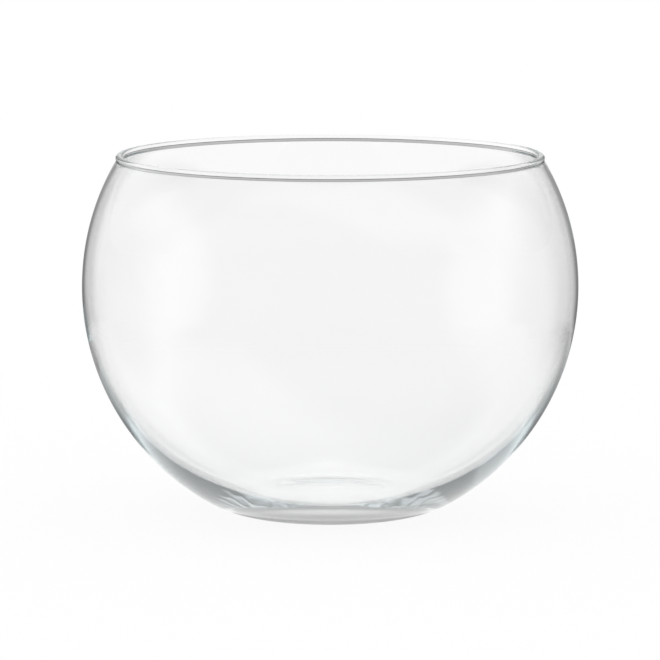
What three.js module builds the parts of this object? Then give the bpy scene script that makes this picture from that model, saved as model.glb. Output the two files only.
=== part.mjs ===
// Ball vase: a clear glass bowl, blown in one piece, open above its widest line, with a melted round rim.
// Millimetres, +Z up. The origin is on the axis, in the plane that the foot stands on.

import * as THREE from 'three';

// Outside of the ball
const BODY_DIAMETER = 250; // at the widest line
const RIM_RISE = 65; // from the widest line up to the middle of the rim bead

// Foot: a narrow flat ring, a soft heel outside it and a very shallow push-up inside it
const FOOT_DIAMETER = 67; // outer edge of the flat ring
const FOOT_RING_WIDTH = 4.5;
const HEEL_RADIUS = 60;
const PUSH_UP_DEPTH = 0.5;
const PUSH_UP_LIP_RADIUS = 1;

// Glass: even from the rim to the widest line, then thicker and thicker down to the floor
const WALL = 2.3;
const LOWER_ARC_OFFSET = 8; // the lower inner arc is struck this far off the axis
const FLOOR_THICKNESS = 5.5; // at the axis, over the push-up
const FLOOR_DISH_RADIUS = 1500;
const FLOOR_FILLET = 45;

// Rim: the cut edge is melted until it draws up into a round bead
const RIM_SWELL = 1.2; // how much thicker the bead is than the wall
const NECK_FILLET = 0.8; // hollow corner under the bead, on the outside

// Fineness of the facets
const SEGMENTS_AROUND = 72;
const BODY_STEP = THREE.MathUtils.degToRad(5);
const SMALL_ARC_STEP = THREE.MathUtils.degToRad(26);

// Clear soda-lime glass
const GLASS_COLOR = 0xeef4f3;
const GLASS_ROUGHNESS = 0.03;
const GLASS_OPACITY = 0.35;

const QUARTER_TURN = Math.PI / 2;

// An arc of the profile, with x as the distance from the axis and y as the height.
// It runs from the first angle to the second, so it turns either way.
function arc(centre, radius, from, to, step) {
  const count = Math.max(2, Math.ceil(Math.abs(to - from) / step));
  const points = [];
  for (let i = 0; i <= count; i += 1) {
    const angle = from + ((to - from) * i) / count;
    const offset = new THREE.Vector2(Math.cos(angle), Math.sin(angle)).multiplyScalar(radius);
    points.push(offset.add(centre));
  }
  return points;
}

// The direction of one point seen from another, between minus half a turn and half a turn.
function bearing(from, to) {
  return Math.atan2(to.y - from.y, to.x - from.x);
}

// The point at given distances from two centres, on the right hand of the way from the first to the second.
function rightHandMeeting(first, firstDistance, second, secondDistance) {
  const apart = first.distanceTo(second);
  const along = (firstDistance ** 2 - secondDistance ** 2 + apart ** 2) / (2 * apart);
  const aside = Math.sqrt(firstDistance ** 2 - along ** 2);
  const way = second.clone().sub(first).normalize();
  const right = new THREE.Vector2(way.y, -way.x);
  return first.clone().addScaledVector(way, along).addScaledVector(right, aside);
}

// Sizes that follow from the driving ones
const bodyRadius = BODY_DIAMETER / 2;
const footRadius = FOOT_DIAMETER / 2;
const cavityRadius = bodyRadius - WALL;
const beadRadius = (WALL + RIM_SWELL) / 2;

// The heel touches the ball from inside and the standing plane from above. It is never so big
// that the ball has no room to come down to the foot ring.
const heelLimit = bodyRadius - 1.2 * footRadius;
const heelRadius = Math.min(HEEL_RADIUS, heelLimit);
const heelCentre = new THREE.Vector2(footRadius, heelRadius);
const beltHeight = heelRadius + Math.sqrt((bodyRadius - heelRadius) ** 2 - footRadius ** 2);
const ballCentre = new THREE.Vector2(0, beltHeight);

// Under the base: the lip rounds the inner edge of the foot ring, and the push-up is a cap that touches it.
function footProfile() {
  const ringInnerRadius = footRadius - FOOT_RING_WIDTH;
  const capRadius = ringInnerRadius ** 2 / (2 * PUSH_UP_DEPTH) + PUSH_UP_DEPTH / 2 - PUSH_UP_LIP_RADIUS;
  const capCentre = new THREE.Vector2(0, PUSH_UP_DEPTH - capRadius);
  const lipCentre = new THREE.Vector2(ringInnerRadius, PUSH_UP_LIP_RADIUS);
  const capEnd = bearing(capCentre, lipCentre);
  const cap = arc(capCentre, capRadius, QUARTER_TURN, capEnd, BODY_STEP);
  const lip = arc(lipCentre, PUSH_UP_LIP_RADIUS, capEnd - Math.PI, -QUARTER_TURN, SMALL_ARC_STEP);
  return [...cap, ...lip];
}

// The rim bead lies flush with the cavity, so all of its swell stands out on the outside.
function rimBead() {
  const centreDistance = cavityRadius + beadRadius;
  const latitude = Math.asin(RIM_RISE / centreDistance);
  const centre = new THREE.Vector2(Math.cos(latitude), Math.sin(latitude)).multiplyScalar(centreDistance);
  centre.add(ballCentre);
  return { centre, latitude };
}

// Outside: heel, ball, the hollow corner under the bead, and the bead over the top to the cavity wall.
function outerProfile(bead) {
  const neckCentre = rightHandMeeting(
    ballCentre, bodyRadius + NECK_FILLET,
    bead.centre, beadRadius + NECK_FILLET,
  );
  const heelEnd = bearing(ballCentre, heelCentre);
  const ballEnd = bearing(ballCentre, neckCentre);
  const beadStart = bearing(bead.centre, neckCentre);
  const heel = arc(heelCentre, heelRadius, -QUARTER_TURN, heelEnd, BODY_STEP);
  const lowerBall = arc(ballCentre, bodyRadius, heelEnd, 0, BODY_STEP);
  const upperBall = arc(ballCentre, bodyRadius, 0, ballEnd, BODY_STEP);
  const neck = arc(neckCentre, NECK_FILLET, ballEnd + Math.PI, beadStart + Math.PI, SMALL_ARC_STEP);
  const melted = arc(bead.centre, beadRadius, beadStart, bead.latitude + Math.PI, SMALL_ARC_STEP);
  return [...heel, ...lowerBall, ...upperBall, ...neck, ...melted];
}

// Inside, from the bead down: the even wall, the lower arc that leaves the glass thicker towards the base,
// and the fillet into the slightly dished floor.
function cavityProfile(bead) {
  const lowerCentre = new THREE.Vector2(LOWER_ARC_OFFSET, beltHeight);
  const lowerRadius = cavityRadius - LOWER_ARC_OFFSET;
  const floorHeight = PUSH_UP_DEPTH + FLOOR_THICKNESS;
  const floorCentre = new THREE.Vector2(0, floorHeight + FLOOR_DISH_RADIUS);
  const filletRadius = Math.min(FLOOR_FILLET, 0.8 * (beltHeight - floorHeight));
  const filletCentre = rightHandMeeting(
    lowerCentre, lowerRadius - filletRadius,
    floorCentre, FLOOR_DISH_RADIUS - filletRadius,
  );
  const lowerEnd = bearing(lowerCentre, filletCentre);
  const filletEnd = bearing(floorCentre, filletCentre);
  const upper = arc(ballCentre, cavityRadius, bead.latitude, 0, BODY_STEP);
  const lower = arc(lowerCentre, lowerRadius, 0, lowerEnd, BODY_STEP);
  const fillet = arc(filletCentre, filletRadius, lowerEnd, filletEnd, 2 * BODY_STEP);
  const floor = arc(floorCentre, FLOOR_DISH_RADIUS, filletEnd, -QUARTER_TURN, BODY_STEP);
  return [...upper, ...lower, ...fillet, ...floor];
}

// Neighbouring arcs share an end point, which is kept once, and the ends lie exactly on the axis.
function joinedProfile(points) {
  const sharedEnd = 1e-6;
  const joined = points.filter((point, i) => i === 0 || point.distanceTo(points[i - 1]) > sharedEnd);
  joined[0].x = 0;
  joined[joined.length - 1].x = 0;
  return joined;
}

function glassBowl() {
  const bead = rimBead();
  const profile = joinedProfile([...footProfile(), ...outerProfile(bead), ...cavityProfile(bead)]);
  const geometry = new THREE.LatheGeometry(profile, SEGMENTS_AROUND);
  geometry.rotateX(QUARTER_TURN);
  const material = new THREE.MeshStandardMaterial({
    color: GLASS_COLOR,
    roughness: GLASS_ROUGHNESS,
    metalness: 0,
    transparent: true,
    opacity: GLASS_OPACITY,
  });
  const mesh = new THREE.Mesh(geometry, material);
  mesh.name = 'glass_bowl';
  return mesh;
}

const ballVase = new THREE.Group();
ballVase.add(glassBowl());

export default ballVase;
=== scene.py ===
import math

import bpy
import numpy as np
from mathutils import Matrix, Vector, noise


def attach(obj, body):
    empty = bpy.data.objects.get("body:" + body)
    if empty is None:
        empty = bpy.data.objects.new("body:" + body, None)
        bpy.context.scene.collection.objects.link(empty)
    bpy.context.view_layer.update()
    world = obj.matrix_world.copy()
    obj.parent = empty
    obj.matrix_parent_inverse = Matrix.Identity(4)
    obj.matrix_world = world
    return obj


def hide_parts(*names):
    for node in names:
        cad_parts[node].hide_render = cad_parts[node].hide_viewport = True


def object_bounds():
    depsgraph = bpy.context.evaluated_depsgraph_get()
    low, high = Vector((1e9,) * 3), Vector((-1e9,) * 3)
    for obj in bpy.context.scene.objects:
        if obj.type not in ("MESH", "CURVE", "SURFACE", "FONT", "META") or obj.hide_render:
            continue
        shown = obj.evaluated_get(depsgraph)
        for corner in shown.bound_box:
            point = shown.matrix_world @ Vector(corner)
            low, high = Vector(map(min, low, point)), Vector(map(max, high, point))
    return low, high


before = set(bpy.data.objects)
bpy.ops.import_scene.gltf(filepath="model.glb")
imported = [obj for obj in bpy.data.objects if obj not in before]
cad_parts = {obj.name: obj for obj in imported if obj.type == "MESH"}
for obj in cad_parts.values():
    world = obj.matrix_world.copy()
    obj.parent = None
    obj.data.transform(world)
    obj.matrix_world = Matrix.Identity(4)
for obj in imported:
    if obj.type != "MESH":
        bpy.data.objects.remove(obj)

scene = bpy.context.scene
scene.view_settings.view_transform = "Standard"
cad_low, cad_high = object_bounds()

# Camera
# A long lens three metres off looks slightly down, so that the round mouth shows as a thin ellipse.
# It aims below the widest line of the ball, which leaves the vase a little high in the square picture.
CAMERA_DISTANCE = 3.0
CAMERA_ELEVATION = math.radians(6.82)
CAMERA_LENS_MM = 324.8
CAMERA_REACH = 100
AIM_BELOW_BELT = 0.0224
AIM_ASIDE = -0.0001
BELT_HEIGHT = 0.1157

belt_centre = Vector((0, 0, BELT_HEIGHT))
camera_back = Vector((0, -math.cos(CAMERA_ELEVATION), math.sin(CAMERA_ELEVATION)))
camera_aim = belt_centre + Vector((AIM_ASIDE, 0, -AIM_BELOW_BELT))
camera_data = bpy.data.cameras.new("camera")
camera_data.lens = CAMERA_LENS_MM
camera_data.clip_end = CAMERA_REACH
camera = bpy.data.objects.new("camera", camera_data)
camera.location = belt_centre + CAMERA_DISTANCE * camera_back
camera.rotation_mode = "QUATERNION"
camera.rotation_quaternion = (camera_aim - camera.location).to_track_quat("-Z", "Y")
scene.collection.objects.link(camera)
scene.camera = camera

# Glass bowl
# The whole vase: one gather of clear soda-lime glass, blown to a ball, cut open above its widest line and
# melted at the cut until the edge drew up into a round bead. The wall is thin at the top and runs down into
# a thick, nearly flat floor, which stands on a narrow flat ring round a very shallow push-up.
WALL = 0.0023
RIM_SWELL = 0.0012
NECK_FILLET = 0.0008
FOOT_RADIUS = 0.0335
FOOT_RING_WIDTH = 0.0045
HEEL_RADIUS = 0.060
PUSH_UP_DEPTH = 0.0005
PUSH_UP_LIP = 0.001
LOWER_ARC_OFFSET = 0.008
FLOOR_THICKNESS = 0.0055
FLOOR_DISH_RADIUS = 1.5
FLOOR_FILLET = 0.045
SEGMENTS_AROUND = 304
POINT_SPACING = 0.0018
LEAST_POINTS = 10
SAME_POINT = 1e-7

quarter_turn = math.pi / 2
body_radius = (cad_high.x - cad_low.x) / 2
cavity_radius = body_radius - WALL
bead_radius = (WALL + RIM_SWELL) / 2
heel_to_belt = math.sqrt((body_radius - HEEL_RADIUS) ** 2 - FOOT_RADIUS ** 2)
ball_centre = Vector((0, HEEL_RADIUS + heel_to_belt))


def arc(centre, radius, start, end):
    """Points of an arc, each as the distance from the axis and the height."""
    count = max(LEAST_POINTS, math.ceil(abs(end - start) * radius / POINT_SPACING))
    turns = np.linspace(start, end, count + 1)
    return np.stack((centre.x + radius * np.cos(turns), centre.y + radius * np.sin(turns)), axis=1)


def bearing(start, end):
    """The direction of one point of the profile seen from another."""
    return math.atan2(end.y - start.y, end.x - start.x)


def right_hand_meeting(first, first_distance, second, second_distance):
    """The point at given distances from two centres, right of the way from the first to the second."""
    way = second - first
    along = (first_distance ** 2 - second_distance ** 2 + way.length_squared) / (2 * way.length)
    aside = math.sqrt(first_distance ** 2 - along ** 2)
    way.normalize()
    return first + along * way + aside * Vector((way.y, -way.x))


def outside_profile(bead_centre, latitude):
    """From the middle of the push-up over the foot ring, heel, ball, neck and bead."""
    ring_inside = FOOT_RADIUS - FOOT_RING_WIDTH
    cap_radius = ring_inside ** 2 / (2 * PUSH_UP_DEPTH) + PUSH_UP_DEPTH / 2 - PUSH_UP_LIP
    cap_centre = Vector((0, PUSH_UP_DEPTH - cap_radius))
    lip_centre = Vector((ring_inside, PUSH_UP_LIP))
    heel_centre = Vector((FOOT_RADIUS, HEEL_RADIUS))
    neck_centre = right_hand_meeting(
        ball_centre, body_radius + NECK_FILLET, bead_centre, bead_radius + NECK_FILLET
    )
    cap_end = bearing(cap_centre, lip_centre)
    heel_end = bearing(ball_centre, heel_centre)
    ball_end = bearing(ball_centre, neck_centre)
    bead_start = bearing(bead_centre, neck_centre)
    return np.concatenate((
        arc(cap_centre, cap_radius, quarter_turn, cap_end),
        arc(lip_centre, PUSH_UP_LIP, cap_end - math.pi, -quarter_turn),
        arc(heel_centre, HEEL_RADIUS, -quarter_turn, heel_end),
        arc(ball_centre, body_radius, heel_end, ball_end),
        arc(neck_centre, NECK_FILLET, ball_end + math.pi, bead_start + math.pi),
        arc(bead_centre, bead_radius, bead_start, latitude + math.pi),
    ))


def inside_profile(latitude):
    """From the bead down the even wall, the thickening lower wall and the fillet to the dished floor."""
    lower_centre = Vector((LOWER_ARC_OFFSET, ball_centre.y))
    lower_radius = cavity_radius - LOWER_ARC_OFFSET
    floor_centre = Vector((0, PUSH_UP_DEPTH + FLOOR_THICKNESS + FLOOR_DISH_RADIUS))
    fillet_centre = right_hand_meeting(
        lower_centre, lower_radius - FLOOR_FILLET, floor_centre, FLOOR_DISH_RADIUS - FLOOR_FILLET
    )
    lower_end = bearing(lower_centre, fillet_centre)
    fillet_end = bearing(floor_centre, fillet_centre)
    return np.concatenate((
        arc(ball_centre, cavity_radius, latitude, 0),
        arc(lower_centre, lower_radius, 0, lower_end),
        arc(fillet_centre, FLOOR_FILLET, lower_end, fillet_end),
        arc(floor_centre, FLOOR_DISH_RADIUS, fillet_end, -quarter_turn),
    ))


# The glass was soft when it was shaped, so neither face is quite true. The outside took the mould and swells
# least. The inside was shaped by breath alone and rolls more. Both stay within the drawn profile. Each face
# takes its slow and its quick ripple from places of its own in the noise.
OUTSIDE_RIPPLE = 0.00003
INSIDE_RIPPLE = 0.00012
OUTSIDE_NOISE = ((0, 2.1, 0.4), (1.7, 0, 3.2))
INSIDE_NOISE = ((7.3, 2.1, 0.4), (1.7, 5.9, 3.2))
RIPPLE_LENGTH = 0.045
RIPPLE_STRETCH = 0.55
RIPPLE_MIDDLE = 0.5
SLOW_RIPPLE = 0.55
QUICK_RIPPLE = 0.2
QUICK_TIMES = 2.3
CALM_RIM = 0.012
CALM_BASE = 0.040
CALM_FADE = 0.030


def ripple(point, noise_places):
    """From 0 to 1: how far the soft glass drew back here. It is drawn out along the way it was blown."""
    slow_place, quick_place = noise_places
    place = Vector((point[0], point[1], point[2] * RIPPLE_STRETCH)) / RIPPLE_LENGTH
    slow = noise.noise(place + Vector(slow_place))
    quick = noise.noise(place * QUICK_TIMES + Vector(quick_place))
    return min(max(RIPPLE_MIDDLE + SLOW_RIPPLE * slow + QUICK_RIPPLE * quick, 0.0), 1.0)


def blown_mesh(outside, inside):
    """Turns the profile about the axis as one closed skin, smooth all over, and lets it ripple."""
    profile = np.concatenate((outside, inside))
    keep = [True, *(np.linalg.norm(np.diff(profile, axis=0), axis=1) > SAME_POINT)]
    is_inside = np.array([False] * len(outside) + [True] * len(inside))[keep]
    profile = profile[keep]
    tangent = np.gradient(profile, axis=0)
    normal = np.stack((tangent[:, 1], -tangent[:, 0]), axis=1)
    normal /= np.linalg.norm(normal, axis=1)[:, None]
    rim_height = profile[:, 1].max()
    turns = np.linspace(0, 2 * math.pi, SEGMENTS_AROUND, endpoint=False)
    vertices = [(0, 0, profile[0][1])]
    for (radius, height), (out, up), inner in zip(profile[1:-1], normal[1:-1], is_inside[1:-1]):
        depth, noise_places = (INSIDE_RIPPLE, INSIDE_NOISE) if inner else (OUTSIDE_RIPPLE, OUTSIDE_NOISE)
        depth *= min(1.0, (rim_height - height) / CALM_RIM)
        depth *= min(max((height - CALM_BASE) / CALM_FADE, 0.0), 1.0)
        for turn in turns:
            point = (radius * math.cos(turn), radius * math.sin(turn), height)
            back = depth * ripple(point, noise_places)
            reach = radius - back * out
            vertices.append((reach * math.cos(turn), reach * math.sin(turn), height - back * up))
    vertices.append((0, 0, profile[-1][1]))
    last = len(vertices) - 1
    rings = len(profile) - 2
    faces = []
    for i in range(SEGMENTS_AROUND):
        j = (i + 1) % SEGMENTS_AROUND
        faces.append((0, 1 + j, 1 + i))
        for ring in range(rings - 1):
            lower = 1 + ring * SEGMENTS_AROUND
            upper = lower + SEGMENTS_AROUND
            faces.append((lower + i, lower + j, upper + j, upper + i))
        top = 1 + (rings - 1) * SEGMENTS_AROUND
        faces.append((top + i, top + j, last))
    mesh = bpy.data.meshes.new("blown_glass_bowl")
    mesh.from_pydata(vertices, [], faces)
    mesh.shade_smooth()
    return mesh


# The bead's middle lies on the tight side of the wall, so all of its swell stands out on the outside.
bead_height = cad_high.z - bead_radius - ball_centre.y
rim_latitude = math.asin(bead_height / (cavity_radius + bead_radius))
bead_middle = ball_centre + (cavity_radius + bead_radius) * Vector(
    (math.cos(rim_latitude), math.sin(rim_latitude))
)
glass_mesh = blown_mesh(outside_profile(bead_middle, rim_latitude), inside_profile(rim_latitude))
glass_bowl = bpy.data.objects.new("blown_glass_bowl", glass_mesh)
scene.collection.objects.link(glass_bowl)


class Shade:
    """A node tree, or one output socket in it. Reckoning with a socket adds Math nodes to its tree."""

    def __init__(self, tree, socket=None):
        self.tree = tree
        self.socket = socket

    def node(self, kind, settings=None, inputs=None, output=0):
        """Adds a node: its settings first, then its sockets' values or links. Gives one of its outputs."""
        made = self.tree.nodes.new(kind)
        for name, value in (settings or {}).items():
            if name == "stops":
                self.set_stops(made.color_ramp, value)
            else:
                setattr(made, name, value)
        for name, value in (inputs or {}).items():
            if isinstance(value, Shade):
                self.tree.links.new(value.socket, made.inputs[name])
            else:
                made.inputs[name].default_value = value
        return Shade(self.tree, made.outputs[output] if made.outputs else None)

    def set_stops(self, ramp, stops):
        """Gives a ramp, which starts with two stops, soft steps through (position, light) stops."""
        ramp.interpolation = "EASE"
        for i, (position, light) in enumerate(stops):
            stop = ramp.elements[i] if i < 2 else ramp.elements.new(position)
            stop.position = position
            stop.color = (light, light, light, 1)

    def sibling(self, name):
        """Another output of the same node."""
        return Shade(self.tree, self.socket.node.outputs[name])

    def maths(self, operation, first, second):
        return self.node("ShaderNodeMath", {"operation": operation}, {0: first, 1: second})

    def __add__(self, other):
        return self.maths("ADD", self, other)

    def __mul__(self, other):
        return self.maths("MULTIPLY", self, other)

    def __sub__(self, other):
        return self.maths("SUBTRACT", self, other)

    def __rsub__(self, other):
        return self.maths("SUBTRACT", other, self)

    def __gt__(self, other):
        return self.maths("GREATER_THAN", self, other)

    def __abs__(self):
        return self.maths("ABSOLUTE", self, 0.0)

    __radd__ = __add__
    __rmul__ = __mul__

    def at_least(self, count):
        """1 where this whole number is the count or more, otherwise 0."""
        return self > count - 0.5

    def ease(self, start, end, low=0.0, high=1.0):
        """Runs smoothly from low to high as this value runs from start to end."""
        return self.node(
            "ShaderNodeMapRange",
            {"interpolation_type": "SMOOTHSTEP"},
            {"Value": self, "From Min": start, "From Max": end, "To Min": low, "To Max": high},
        )

    def steps(self, cards):
        """Runs smoothly through (degrees, light) cards as this value runs from 0 to 1 over half a turn."""
        stops = [(degrees / 180, light) for degrees, light in cards]
        return self.node("ShaderNodeValToRGB", {"stops": stops}, {"Fac": self})


# Clear glass is as good as colourless where it is thin, and faintly green-blue where light runs far in it.
# Its skin is bright, with a slow drag in it from the blowing and the least haze where it has been handled.
GLASS_COLOUR = (1, 1, 1, 1)
GLASS_TINT = (0.61, 0.725, 0.75, 1)
TINT_DENSITY = 4.0
GLASS_IOR = 1.51
DRAG_PER_METRE = 60
DRAG_DETAIL = 2.0
DRAG_DEPTH = 0.00001
HAZE_PER_METRE = 22
HAZE_DETAIL = 4.0
CLEAN_BELOW = 0.45
HAZY_ABOVE = 0.75
HAZE_LEAST = 0.0
HAZE_MOST = 0.012

clear_glass = bpy.data.materials.new("clear_blown_glass")
clear_glass.use_nodes = True
clear_glass.node_tree.nodes.clear()
glass = Shade(clear_glass.node_tree)
place = glass.node("ShaderNodeTexCoord", output="Object")
drag = glass.node(
    "ShaderNodeTexNoise", {}, {"Vector": place, "Scale": DRAG_PER_METRE, "Detail": DRAG_DETAIL}
)
handled = glass.node(
    "ShaderNodeTexNoise", {}, {"Vector": place, "Scale": HAZE_PER_METRE, "Detail": HAZE_DETAIL}
)
skin = glass.node("ShaderNodeBump", {}, {"Height": drag, "Strength": 1.0, "Distance": DRAG_DEPTH})
body = glass.node("ShaderNodeBsdfPrincipled", {}, {
    "Base Color": GLASS_COLOUR,
    "Roughness": handled.ease(CLEAN_BELOW, HAZY_ABOVE, HAZE_LEAST, HAZE_MOST),
    "IOR": GLASS_IOR,
    "Transmission Weight": 1.0,
    "Normal": skin,
})
tint = glass.node("ShaderNodeVolumeAbsorption", {}, {"Color": GLASS_TINT, "Density": TINT_DENSITY})
glass.node("ShaderNodeOutputMaterial", {}, {"Surface": body, "Volume": tint})
glass_mesh.materials.append(clear_glass)

# Thick glass turns light many times before it lets it out.
MOST_TURNS = 128
scene.cycles.max_bounces = MOST_TURNS
scene.cycles.glossy_bounces = MOST_TURNS
scene.cycles.transmission_bounces = MOST_TURNS

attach(glass_bowl, "root")
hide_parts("glass_bowl")

# Studio
# A white room with soft light from all round, which is not part of the vase. The camera sees a white
# background, straight and through the glass. What the glass mirrors is a dimmer room, which draws its
# outline.
ROOM_LIGHT = 1.04

# The rings of paler and darker cards that the glass mirrors, the same to the left as to the right. Each
# lists bearings from straight behind the vase with the light there. The lowest reaches down without end, and
# each of the others is eased in over it between two heights. All bearings and heights are in degrees.
LOW_CARDS = (
    (0, 0.9), (9, 0.2), (15, 0.22), (24, 0.57), (45, 0.85),
    (60, 1.0), (82, 0.95), (102, 0.6), (125, 0.42), (180, 0.38),
)
HORIZON_CARDS = (
    (0, 1.1), (6, 1.0), (10, 0.35), (16, 0.3), (24, 0.57), (45, 0.98),
    (80, 0.88), (92, 0.7), (108, 0.52), (130, 0.43), (180, 0.4),
)
MIDDLE_CARDS = (
    (0, 1.1), (16, 0.8), (28, 0.8), (45, 1.0), (80, 0.88), (92, 0.7), (108, 0.52), (130, 0.43), (180, 0.4),
)
UPPER_CARDS = ((0, 1.1), (16, 0.45), (60, 0.27), (180, 0.33))
CEILING = ((0, 0.3), (180, 0.25))
LAYERS = ((-6, 0, HORIZON_CARDS), (3, 10, MIDDLE_CARDS), (22, 42, UPPER_CARDS), (56, 70, CEILING))

# One soft window on the left and one grey screen on the right, by bearing, height, size and light. The light
# is full in the middle share of the size and fades out to its edge.
WINDOWS = ((-101, 4, 27.0, 1.08), (62, -9, 38.0, 0.3))
FULL_LIGHT_SHARE = 0.3

# Rings and windows of their own for light that thick glass mirrors many times before it lets it out.
MANY_TIMES = 6
DEEP_LOW_CARDS = (
    (0, 0.33), (34, 0.33), (60, 0.52), (88, 0.57), (96, 0.75),
    (105, 0.95), (118, 1.3), (124, 1.2), (138, 0.35), (180, 0.35),
)
DEEP_HIGH_CARDS = (
    (0, 0.33), (14, 0.25), (50, 0.22), (75, 0.25), (95, 0.34), (104, 0.47),
    (112, 0.75), (118, 1.05), (126, 1.0), (138, 0.35), (180, 0.35),
)
DEEP_CEILING = ((0, 0.35), (180, 0.35))
DEEP_LAYERS = ((0, 6, DEEP_HIGH_CARDS), (20, 30, DEEP_CEILING))
DEEP_WINDOWS = ((5, 26, 21.0, 1.1), (-13, 8, 8.5, 0.75), (-86, 7, 26.0, 0.48))

# Above the horizon, where only thick or steep glass bends the line of sight, the background has a dark strip
# and is grey above it. This draws the lines of the rim and the foot.
WHITE_BELOW = -0.5
STRIP_FROM = 0
STRIP_TO = 4
GREY_ABOVE = 6
STRIP_LIGHT = 0.04
GREY_LIGHT = 0.5


def sine(degrees):
    return math.sin(math.radians(degrees))


def cosine(degrees):
    return math.cos(math.radians(degrees))


def round_from_behind(across, behind):
    """How far round a place is from straight behind the vase: 0 to 1 for half a turn."""
    return across.maths("ARCTAN2", across, behind) * (1 / math.pi)


def layered(aside, height, lowest, layers):
    """Rings of cards one above the other, each eased in between two heights over the ones below it."""
    light = aside.steps(lowest)
    for layer_from, layer_to, cards in layers:
        part = height.ease(sine(layer_from), sine(layer_to))
        light = light + part * (aside.steps(cards) - light)
    return light


def with_windows(light, windows, direction):
    """The light with soft round windows and screens in it."""
    for turned, raised, size, shine in windows:
        middle = (sine(turned) * cosine(raised), cosine(turned) * cosine(raised), sine(raised))
        near = direction.node(
            "ShaderNodeVectorMath", {"operation": "DOT_PRODUCT"}, {0: direction, 1: middle}, "Value"
        )
        part = near.ease(cosine(size), cosine(FULL_LIGHT_SHARE * size))
        light = light + part * (shine - light)
    return light


world = bpy.data.worlds.new("studio")
world.use_nodes = True
world.node_tree.nodes.clear()
scene.world = world
room = Shade(world.node_tree)
direction = room.node("ShaderNodeTexCoord", output="Generated")
east = room.node("ShaderNodeSeparateXYZ", {}, {"Vector": direction}, "X")
height = east.sibling("Z")
aside = round_from_behind(abs(east), east.sibling("Y"))
straight = room.node("ShaderNodeLightPath", output="Is Camera Ray")
lighting = straight.sibling("Diffuse Depth").at_least(1)
times_mirrored = straight.sibling("Glossy Depth")
mirror = with_windows(layered(aside, height, LOW_CARDS, LAYERS), WINDOWS, direction)
deep = with_windows(layered(aside, height, DEEP_LOW_CARDS, DEEP_LAYERS), DEEP_WINDOWS, direction)
mirror = mirror + times_mirrored.at_least(MANY_TIMES) * (deep - mirror)
through = height.ease(sine(WHITE_BELOW), sine(STRIP_FROM), 1.0, STRIP_LIGHT)
through = through + height.ease(sine(STRIP_TO), sine(GREY_ABOVE), 0.0, GREY_LIGHT - STRIP_LIGHT)
seen = straight + (1 - straight) * through
sight = seen + times_mirrored.at_least(1) * (mirror - seen)
strength = sight + lighting * (ROOM_LIGHT - sight)
glow = room.node("ShaderNodeBackground", {}, {"Color": (1, 1, 1, 1), "Strength": strength})
room.node("ShaderNodeOutputWorld", {}, {"Surface": glow})

# Floor
# A round white table top, which is not part of the vase. It lies a hair under the foot ring, so that the two
# faces don't fight. It shows as the white background and keeps a faint soft shadow of the glass.
FLOOR_RADIUS = 0.55
FLOOR_SIDES = 96
FLOOR_GAP = 0.0002
FLOOR_ALBEDO = 0.09
FLOOR_ROUGHNESS = 0.9

floor_mesh = bpy.data.meshes.new("floor")
floor_mesh.from_pydata(
    [
        (FLOOR_RADIUS * math.cos(turn), FLOOR_RADIUS * math.sin(turn), -FLOOR_GAP)
        for turn in np.linspace(0, 2 * math.pi, FLOOR_SIDES, endpoint=False)
    ],
    [],
    [range(FLOOR_SIDES)],
)
floor = bpy.data.objects.new("floor", floor_mesh)
scene.collection.objects.link(floor)

# What the glass mirrors of the table is shaded under the heel and runs out into the light of the studio. It
# takes the light that lies in the same direction from the middle of the vase.
HEEL_SHADE = 0.49
HEEL_SHADE_FROM = 0.0485
HEEL_SHADE_TO = 0.0525
VASE_MIDDLE = 0.11
RUN_OUT_FROM = 0.15
RUN_OUT_TO = 0.50

# The wall behind the mouth mirrors the table too. What its outer face mirrors has passed four faces on its
# way, and is dimmed outside the heel's shade, so that the mouth shows one even tone.
MOUTH_FACES = 4
MOUTH_SHADE = 0.09
MOUTH_SHADE_FRONT = -0.06
MOUTH_SHADE_FROM = 0.15
MOUTH_SHADE_TO = 0.30

# What the glass mirrors of the table is painted darker past a slanting line at the right and in two narrow
# bands behind the vase. This is painted shade that stands for a grey screen over the table and two dark
# cards behind it. The bands' bearings start from straight behind a foot on each side.
RIGHT_SHADE_SLANT = 1.2
RIGHT_SHADE_FROM = 0.125
RIGHT_SHADE_TO = 0.225
RIGHT_SHADE_LEAVES = 0.6
BEHIND_SHADE_FOOT = 0.105
BEHIND_SHADE_FROM = 0.06
BEHIND_SHADE_TO = 0.09
BEHIND_SHADE_BANDS = ((0, 1.0), (3, 0.9), (8, 0.2), (16, 0.2), (22, 0.5), (30, 1.0))

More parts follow.
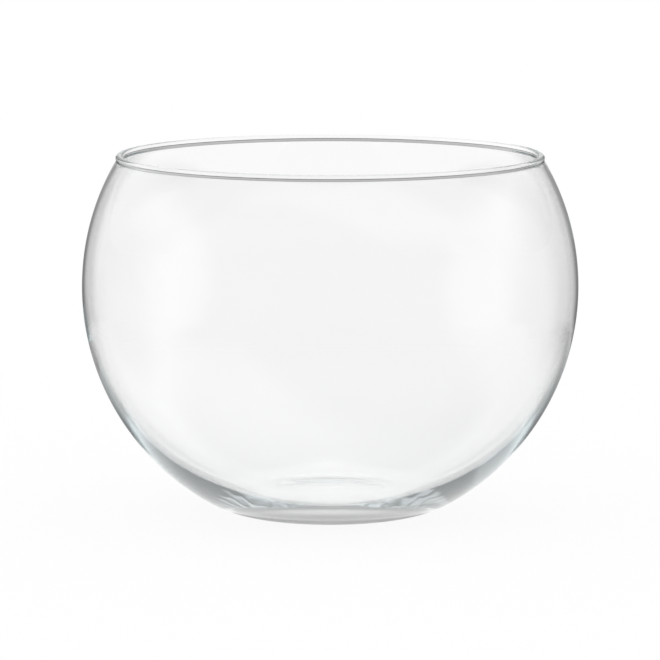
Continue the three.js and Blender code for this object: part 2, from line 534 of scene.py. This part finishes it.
white_top = bpy.data.materials.new("white_table_top")
white_top.use_nodes = True
white_top.node_tree.nodes.clear()
top = Shade(white_top.node_tree)
spot = top.node("ShaderNodeTexCoord", output="Object")
away = top.node("ShaderNodeVectorMath", {"operation": "LENGTH"}, {0: spot}, "Value")
sideways = top.node("ShaderNodeSeparateXYZ", {}, {"Vector": spot}, "X")
behind = sideways.sibling("Y")
below = top.node("ShaderNodeVectorMath", {"operation": "SUBTRACT"}, {0: spot, 1: (0, 0, VASE_MIDDLE)})
outward = top.node("ShaderNodeVectorMath", {"operation": "NORMALIZE"}, {0: below})
times_mirrored = top.node("ShaderNodeLightPath", output="Glossy Depth")
faces_passed = times_mirrored.sibling("Transmission Depth")
lighting = times_mirrored.sibling("Diffuse Depth").at_least(1)

in_mouth = faces_passed.at_least(MOUTH_FACES) * (1 - faces_passed.at_least(MOUTH_FACES + 1))
in_mouth = in_mouth * (1 - times_mirrored.at_least(2)) * behind.ease(MOUTH_SHADE_FRONT, 0.0)
in_mouth = in_mouth * away.ease(HEEL_SHADE_FROM, HEEL_SHADE_TO)
in_mouth = in_mouth * away.ease(MOUTH_SHADE_FROM, MOUTH_SHADE_TO, 1.0, 0.0)
# Painted shade: two narrow dark bands behind the vase, in what the glass mirrors of the table.
past_shade_foot = round_from_behind(abs(sideways) - BEHIND_SHADE_FOOT, behind)
behind_shade = behind.ease(BEHIND_SHADE_FROM, BEHIND_SHADE_TO) * (1 - past_shade_foot.steps(BEHIND_SHADE_BANDS))
studio = with_windows(round_from_behind(abs(sideways), behind).steps(LOW_CARDS), WINDOWS, outward)
mirror = away.ease(HEEL_SHADE_FROM, HEEL_SHADE_TO, HEEL_SHADE, 1.0)
mirror = mirror * (1 - in_mouth * (1 - MOUTH_SHADE))
# Painted shade: darker past a slanting line at the right, in what the glass mirrors of the table.
mirror = mirror * (sideways - behind * RIGHT_SHADE_SLANT).ease(RIGHT_SHADE_FROM, RIGHT_SHADE_TO, 1.0, RIGHT_SHADE_LEAVES)
mirror = mirror * (1 - behind_shade)
mirror = mirror + away.ease(RUN_OUT_FROM, RUN_OUT_TO) * (studio - mirror) - FLOOR_ALBEDO
seen = 1 - FLOOR_ALBEDO
shown = times_mirrored.at_least(1) * (mirror - seen) + seen
paint = top.node("ShaderNodeBsdfPrincipled", {}, {
    "Base Color": (FLOOR_ALBEDO, FLOOR_ALBEDO, FLOOR_ALBEDO, 1),
    "Roughness": FLOOR_ROUGHNESS,
    "Specular IOR Level": 0.0,
    "Emission Color": (1, 1, 1, 1),
    "Emission Strength": (1 - lighting) * shown,
})
top.node("ShaderNodeOutputMaterial", {}, {"Surface": paint})
floor_mesh.materials.append(white_top)
